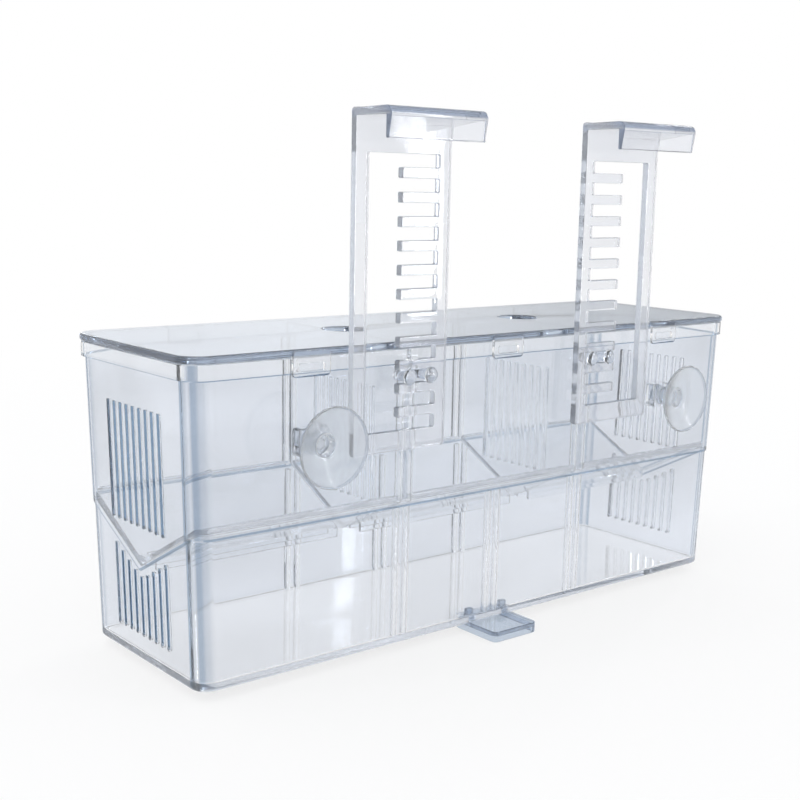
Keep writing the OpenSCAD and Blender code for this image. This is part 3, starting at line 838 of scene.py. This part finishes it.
def tray_form(t, p, name, x0, x1):
    """V-shaped tray with its slot, the two lips along it, and notches for the ribs."""
    base, s, th, v, wide = t.ledge_z + p.seat, p.tray_slot / 2, p.tray_t, v_half(t), tray_half(t, p)
    lip_z = v_line(t, s) + p.seat
    side = [
        (s, lip_z), (v, base), (wide, base), (wide, base + th), (v - 0.6 * MM, base + th), (s, lip_z + th * 1.13)
    ]
    form = side + [(-y, z) for y, z in side[::-1]]
    tray = plate(name, [rounded(form, 0.5 * MM, 2)], x0, x1, 0.3 * MM, FACING_END)
    a, b = x0 + p.tray_bridge, x1 - p.tray_bridge
    slot = rounded(rectangle(a, b, -s, s), 1.0 * MM, 3)
    combined(tray, plate("slot", [slot], lip_z - 5 * MM, lip_z + 5 * MM, HAIR, FLAT, 1), "DIFFERENCE")
    lips = []
    for k in SIDES.values():
        ys = sorted((k * (s + HAIR), k * (s + th * 0.7)))
        corners = (a - SINK, ys[0], lip_z - p.tray_lip), (b + SINK, ys[1], lip_z + th * 0.8)
        lips.append(block("lip", *corners, 0.3 * MM))
    combined(tray, merged("lips", lips), "UNION")
    half, notches = t.rib_w / 2 + p.loose, []
    rib_front = half_depth(t, t.ledge_z) - t.wall_t - t.rib_d - p.loose
    for middle in [d + k * (t.chan_gap + t.rib_w) / 2 for d in (-DIVIDER_X, DIVIDER_X) for k in SIDES.values()]:
        if x0 - 3 * MM < middle < x1 + 3 * MM:
            for k in SIDES.values():
                ys = sorted((k * rib_front, k * (wide + 2 * MM)))
                corners = (middle - half, ys[0], t.ledge_z - MM), (middle + half, ys[1], t.ledge_z + 4 * th)
                notches.append(block("notch", *corners, 0))
    combined(tray, merged("notches", notches), "DIFFERENCE")
    return tray


class AddTrays(bpy.types.Operator):
    """Three V-shaped trays, one in each room, with a slot along the bottom"""

    bl_idname = "breeding_box.add_trays"
    bl_label = "Add trays"

    def execute(self, context):
        t, p, colours = settings(context)
        spare = 2 * HAIR
        wide = tray_half(t, p) + spare
        for name in ("left", "middle", "right"):
            low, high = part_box("tray_" + name)
            tray = tray_form(t, p, f"tray_{name}_moulded", low.x, high.x)
            if name != "middle":
                # The outer trays follow the tank's round corners
                far = max(abs(low.x), abs(high.x)) + spare
                bound = rounded(rectangle(-far, far, -wide, wide), t.corner_r - t.wall_t, 8)
                combined(tray, plate("bound", [bound], low.z - MM, high.z + MM, HAIR, FLAT, 1), "INTERSECT")

            # Painted shade on the tray's end faces
            def shade_of(place, face):
                at_end = not low.x + MM < face.center.x < high.x - MM
                return shade(colours.insert_edge_painted_shade) if abs(face.normal.x) > 0.9 and at_end else None

            finished(tray, plastic("insert"), f"tray_{name}_body", "tray_" + name, shade_of)
        return {"FINISHED"}


# ---------------------------------------------------------------- hooks, cups and foot


class AddHooks(bpy.types.Operator):
    """Two flat hooks with slots between teeth, an open window, a shelf and a hanging lip"""

    bl_idname = "breeding_box.add_hooks"
    bl_label = "Add hooks"

    def execute(self, context):
        t, p, colours = settings(context)
        x0, x1, z0, z1 = HOOK_LOW.x, HOOK_HIGH.x, HOOK_LOW.z, HOOK_HIGH.z
        back, front = -HOOK_HIGH.y, -HOOK_LOW.y
        first, teeth, window = z0 + p.bottom_bar, x0 + p.root_leg, x0 + p.root_leg + p.tooth_l
        comb = [(window + p.window_w, first)]
        comb += [(window + p.window_w, first + (p.slot_count - 1) * p.slot_pitch + p.slot_h)]
        for i in reversed(range(p.slot_count)):
            low = first + i * p.slot_pitch
            comb += [(teeth, low + p.slot_h), (teeth, low)]
            if i:
                comb += [(window, low), (window, low - p.slot_pitch + p.slot_h)]
        outlines = [rounded(rectangle(x0, x1, z0, z1), 1.2 * MM, 4), rounded(comb, 0.4 * MM, 2)]
        lip_z, under, behind = z1 - p.lip_h, z1 - p.hook_t, -back - p.hook_t / 2
        shelf = [(-front, lip_z), (-front + p.hook_t, lip_z), (-front + p.hook_t, under), (behind, under), (behind, z1)]
        shelf = rounded(shelf, 0.4 * MM, 2)
        for a in [math.radians(k * 15) for k in range(7)]:
            shelf.append((-front + p.bend_r * (1 - math.sin(a)), z1 - p.bend_r * (1 - math.cos(a))))

        # Painted shade: dark on the bends, the lips' ends and the faces that look up, paler grey on the other flanks
        def shade_of(place, face):
            n = face.normal
            on_bend = place.z > z1 - 0.8 * p.bend_r and n.y < 0.3
            if place.y < -front + NEAR + p.bend_r and (on_bend or abs(n.x) > 0.7):
                return shade(colours.hook_bend)
            if abs(n.y) > 0.5 or face.center.z > under:
                return None
            return shade(colours.tooth if n.z > 0.7 else colours.hook_edge)

        for name, side in SIDES.items():
            plane = FACING_FRONT if side > 0 else Matrix.Scale(-1, 4, (1, 0, 0)) @ FACING_FRONT
            span = (x0, x1) if side > 0 else (-x1, -x0)
            hook = plate(f"hook_{name}_moulded", outlines, back, back + p.hook_t, p.plate_round, plane)
            combined(hook, plate("shelf", [shelf], *span, p.plate_round, FACING_END), "UNION")
            finished(hook, plastic("hook"), f"hook_{name}_body", "hook_" + name, shade_of)
        return {"FINISHED"}


def cup_profile(p, r, button, reach):
    """Section of a suction cup: button behind the bracket, neck, hub, and the hollow bowl out to its thin rim."""
    button_r, neck_r, hub_r = p.button_d / 2, p.neck_d / 2, p.hub_d / 2
    button_front, hub_back = button + 1.4 * MM, p.bracket_d + p.loose

    def bowl(q):
        return reach - p.cup_hollow + p.cup_hollow * (q / r) ** 2

    def outer(q):
        return bowl(q) - (p.cup_mid_t + (p.cup_rim_t - p.cup_mid_t) * q / r)

    hub_front, rings = outer(hub_r), 14
    first = hub_r + 0.6 * MM
    profile = [(0, button)]
    # Corners of button, neck and hub, each rounded by a few steps in millimetres from its sharp place
    for radius, along, steps in (
        (button_r, button, ((-0.4, 0), (-0.1, 0.15), (0, 0.45))),
        (button_r, button_front, ((0, -0.35), (-0.3, 0))),
        (neck_r, button_front, ((0.2, 0), (0, 0.2))),
        (neck_r, hub_back, ((0, -0.2), (0.2, 0))),
        (hub_r, hub_back, ((-0.4, 0), (-0.1, 0.15), (0, 0.5))),
        (hub_r, hub_front, ((0, -0.9), (0.15, -0.4))),
    ):
        profile += [(radius + out * MM, along + on * MM) for out, on in steps]
    profile += [(q, outer(q)) for q in [first + (r - hub_r - 0.6 * MM) * k / rings for k in range(rings)]]
    profile += [
        (r - 0.25 * MM, bowl(r) - p.cup_rim_t + 0.02 * MM),
        (r, bowl(r) - p.cup_rim_t * 0.6),
        (r, bowl(r) - p.cup_rim_t * 0.3),
        (r - 0.12 * MM, bowl(r) - 0.04 * MM),
    ]
    return profile + [(q, bowl(q)) for q in [r * k / rings for k in range(rings - 1, -1, -1)]]


class AddCups(bpy.types.Operator):
    """Two soft suction cups with hub, neck and button"""

    bl_idname = "breeding_box.add_cups"
    bl_label = "Add cups"

    def execute(self, context):
        t, p, colours = settings(context)
        for name in SIDES:
            low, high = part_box("cup_" + name)
            r, x, z = (high.x - low.x) / 2, (low.x + high.x) / 2, (low.z + high.z) / 2
            wall = half_depth(t, z)
            cup = turned(f"cup_{name}_soft", cup_profile(p, r, -high.y - wall, -low.y - wall), (x, 0, z), 96)
            for v in cup.data.vertices:
                v.co.y -= wall

            def shade_of(place, face):
                # Painted shade: the hub's flank and the rim are painted as darker rings
                away = math.hypot(face.center.x - x, face.center.z - z)
                on_hub = abs(away - p.hub_d / 2) < 0.25 * MM and abs(face.normal.y) < 0.7
                return shade(colours.step, 0.5) if on_hub or away > r - 0.5 * MM else None

            finished(cup, plastic("cup"), f"cup_{name}_body", "cup_" + name, shade_of, 50)
        return {"FINISHED"}


class AddFoot(bpy.types.Operator):
    """Stand-off tongue with its hanging rim and the two prongs that hold it"""

    bl_idname = "breeding_box.add_foot"
    bl_label = "Add foot"

    def execute(self, context):
        t, p, _ = settings(context)
        w, back, front = FOOT_HIGH.x, FOOT_HIGH.y, FOOT_LOW.y
        low, top, rim = FOOT_LOW.z, p.pocket_t - p.seat, p.foot_t * 0.8
        outline = rounded(rectangle(-w, w, front, back), 2.5 * MM, 6)
        foot = plate("foot_moulded", [outline], low, top, 0.45 * MM, FLAT, 3)
        inner = rounded(rectangle(-w + rim, w - rim, front + rim, back + 3 * MM), 1.6 * MM, 4)
        combined(foot, plate("hollow", [inner], low - 2 * MM, top - p.foot_t, 0.3 * MM, FLAT), "DIFFERENCE")
        prongs = foot_prongs(t, "prong", 1.5 * MM, 1.0 * MM, top - p.foot_t / 2, FOOT_HIGH.z, 0.3 * MM)
        combined(foot, prongs, "UNION")
        finished(foot, plastic("foot"), "tank", "foot")
        return {"FINISHED"}


# ---------------------------------------------------------------- stage


def studio_floor(colours):
    """Matt white paper sweep: white to the camera where it is lit, a little darker in the object's shadow."""
    material = bpy.data.materials.new("white_paper_sweep")
    tree = emptied(material)
    place = node(tree, "ShaderNodeTexCoord").outputs["Object"]
    # Real fibres are too fine to show, so the relief is drawn a little over 1 mm wide
    fibre = node(tree, "ShaderNodeTexNoise", {"Vector": place}, Scale=900.0, Detail=3.0)
    relief = node(tree, "ShaderNodeBump", {"Height": fibre.outputs["Fac"]}, Strength=0.05, Distance=0.2 * MM)
    paper = node(tree, "ShaderNodeBsdfDiffuse", {"Normal": relief.outputs["Normal"]}, Color=tuple(colours.floor))
    lift = node(tree, "ShaderNodeEmission", Color=(1, 1, 1, 1), Strength=1.0)
    # Away from the object the paper runs out into plain white, so that no horizon shows
    away = node(tree, "ShaderNodeVectorMath", {0: place}, operation="LENGTH").outputs["Value"]
    fade = dict(From_Min=0.2, From_Max=0.8, To_Min=0.75, To_Max=1.0, interpolation_type="SMOOTHSTEP")
    sweep = node(tree, "ShaderNodeMapRange", {"Value": away}, **fade).outputs["Result"]
    path = node(tree, "ShaderNodeLightPath").outputs
    direct = node(tree, "ShaderNodeMath", {0: path["Is Camera Ray"], 1: sweep}, operation="MULTIPLY")
    clear_rays = {0: path["Is Glossy Ray"], 1: path["Is Transmission Ray"]}
    through = node(tree, "ShaderNodeMath", clear_rays, operation="MAXIMUM")
    shares = {0: through.outputs["Value"], 1: 0.9, 2: direct.outputs["Value"]}
    share = node(tree, "ShaderNodeMath", shares, operation="MULTIPLY_ADD").outputs["Value"]
    mix = {"Fac": share, 1: paper.outputs["BSDF"], 2: lift.outputs["Emission"]}
    node(tree, "ShaderNodeOutputMaterial", {"Surface": node(tree, "ShaderNodeMixShader", mix).outputs["Shader"]})
    return material


def studio_world():
    """White for the camera, nearly white for what the plastic mirrors and lets through, and a plain level of light."""
    world = bpy.data.worlds.new("white_studio")
    tree = emptied(world)
    way = node(tree, "ShaderNodeTexCoord").outputs["Generated"]
    height = node(tree, "ShaderNodeSeparateXYZ", {"Vector": way}).outputs["Z"]
    dimmer = dict(From_Min=0.3, From_Max=0.9, To_Min=1.0, To_Max=0.8, interpolation_type="SMOOTHSTEP")
    ceiling = node(tree, "ShaderNodeMapRange", {"Value": height}, **dimmer).outputs["Result"]
    # The backdrop beyond the box is a touch cooler than the rest of the room
    toward = node(tree, "ShaderNodeVectorMath", {0: way, 1: (0.634, 0.773, 0.0)}, operation="DOT_PRODUCT")
    room_tints = (0.1, (1.0, 1.0, 1.0, 1)), (0.75, (0.97, 0.98, 1.0, 1))
    room = node(tree, "ShaderNodeValToRGB", {"Fac": toward.outputs["Value"]}, room_tints).outputs["Color"]
    # A grey card beyond the right end darkens what the lid's far end mirrors
    card_side = node(tree, "ShaderNodeVectorMath", {0: way, 1: (0.94, 0.342, 0.0)}, operation="DOT_PRODUCT")
    grey = dict(From_Min=0.82, From_Max=0.94, To_Min=1.0, To_Max=0.5)
    card = node(tree, "ShaderNodeMapRange", {"Value": card_side.outputs["Value"]}, **grey)
    dim = node(tree, "ShaderNodeMath", {0: card.outputs["Result"], 1: ceiling}, operation="MULTIPLY").outputs["Value"]
    mirrored = node(tree, "ShaderNodeBackground", {"Strength": dim, "Color": room})
    seen = node(tree, "ShaderNodeBackground", {"Strength": ceiling, "Color": room})
    plain = node(tree, "ShaderNodeBackground", Color=(1, 1, 1, 1), Strength=1.0)
    light = node(tree, "ShaderNodeBackground", Color=(1, 1, 1, 1), Strength=0.85)
    path = node(tree, "ShaderNodeLightPath").outputs
    shown = light.outputs["Background"]
    for kind, sky in (("Is Glossy Ray", mirrored), ("Is Transmission Ray", seen), ("Is Camera Ray", plain)):
        mix = {"Fac": path[kind], 1: shown, 2: sky.outputs["Background"]}
        shown = node(tree, "ShaderNodeMixShader", mix).outputs["Shader"]
    node(tree, "ShaderNodeOutputWorld", {"Surface": shown})
    return world


def softbox(name, place, size, power):
    """Soft lamp that points at the middle of the box."""
    aim = Vector((0, 0, 0.06))
    data = bpy.data.lights.new(name, "AREA")
    data.shape, data.size, data.size_y, data.energy = "RECTANGLE", size[0], size[1], power
    lamp = bpy.data.objects.new(name, data)
    lamp.location = place
    lamp.rotation_euler = (aim - Vector(place)).to_track_quat("-Z", "Y").to_euler()
    bpy.context.scene.collection.objects.link(lamp)


def photo_camera():
    """Camera at the photograph's place: the focal length in pixels of an 800-pixel picture, and angles in radians."""
    focal_px, picture_px, sensor_mm = 1268.49185, 800, 36.0
    yaw, pitch, roll = 0.68747, 0.16818, 0.02117
    unit = 0.266  # The place was solved in units of this length, about the lid's
    place = Vector((-1.20823, -1.39294, 0.60784)) * unit
    data = bpy.data.cameras.new("camera")
    data.sensor_width, data.sensor_fit = sensor_mm, "HORIZONTAL"
    data.lens = focal_px / picture_px * sensor_mm
    data.clip_start, data.clip_end = 0.01, 50.0
    camera = bpy.data.objects.new("camera", data)
    ahead = Vector((math.sin(yaw) * math.cos(pitch), math.cos(yaw) * math.cos(pitch), -math.sin(pitch)))
    right = Vector((math.cos(yaw), -math.sin(yaw), 0))
    up = right.cross(ahead)
    right, up = math.cos(roll) * right + math.sin(roll) * up, math.cos(roll) * up - math.sin(roll) * right
    camera.matrix_world = Matrix.Translation(place) @ Matrix((right, up, -ahead)).transposed().to_4x4()
    bpy.context.scene.collection.objects.link(camera)
    return camera


class AddStage(bpy.types.Operator):
    """White floor, soft studio light and the camera at the photograph's place"""

    bl_idname = "breeding_box.add_stage"
    bl_label = "Add stage"

    def execute(self, context):
        scene = context.scene
        bm = bmesh.new()
        bmesh.ops.create_grid(bm, x_segments=8, y_segments=8, size=4.0)
        floor = closed(bm, "studio_floor")
        for v in floor.data.vertices:
            v.co.z = FOOT_LOW.z - 0.1 * MM
        floor.data.materials.append(studio_floor(scene.breeding_colours))
        scene.world = studio_world()
        softbox("key_light", (-0.7, -0.5, 1.3), (0.9, 0.9), 4.0)
        # Tall strips of equal brightness all round draw the bright lines along upright edges
        watts_per_width, tall = 55.0, 1.2
        for name, x, y, wide in (
            ("left", -1.3, 0.35, 0.04), ("right", 0.85, -1.1, 0.04),
            ("far_right", 1.3, 0.47, 0.04), ("far_left", 0.36, 1.35, 0.012),
        ):
            softbox(name + "_strip", (x, y, 0.4), (wide, tall), watts_per_width * wide)
        scene.camera = photo_camera()
        scene.view_settings.view_transform = "Standard"
        # Sight lines pass many clear faces, and a path cut short would show as a black edge
        scene.cycles.max_bounces = 64
        scene.cycles.transmission_bounces = 64
        scene.cycles.glossy_bounces = 64
        scene.cycles.transparent_max_bounces = 32
        return {"FINISHED"}


class BreedingBoxPanel(bpy.types.Panel):
    """Buttons for each piece, and the sizes and colours they use"""

    bl_idname = "VIEW3D_PT_breeding_box"
    bl_label = "Breeding box"
    bl_space_type = "VIEW_3D"
    bl_region_type = "UI"
    bl_category = "Breeding box"

    def draw(self, context):
        for step in STEPS:
            self.layout.operator(step.bl_idname)
        for group in settings(context):
            box = self.layout.box()
            for key in group.__annotations__:
                box.prop(group, key)


STEPS = (AddTank, AddLid, AddDividers, AddTrays, AddHooks, AddCups, AddFoot, AddStage)
GROUPS = {"breeding_tank": TankSizes, "breeding_pieces": PieceSizes, "breeding_colours": PlasticColours}


def register():
    for kind in (*GROUPS.values(), *STEPS, BreedingBoxPanel):
        bpy.utils.register_class(kind)
    for name, group in GROUPS.items():
        setattr(bpy.types.Scene, name, bpy.props.PointerProperty(type=group))


def unregister():
    for name in GROUPS:
        delattr(bpy.types.Scene, name)
    for kind in (BreedingBoxPanel, *reversed(STEPS), *reversed(GROUPS.values())):
        bpy.utils.unregister_class(kind)


def main():
    """Builds every piece in order."""
    register()
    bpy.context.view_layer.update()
    for step in STEPS:
        group, name = step.bl_idname.split(".")
        getattr(getattr(bpy.ops, group), name)()


if __name__ == "__main__":
    main()
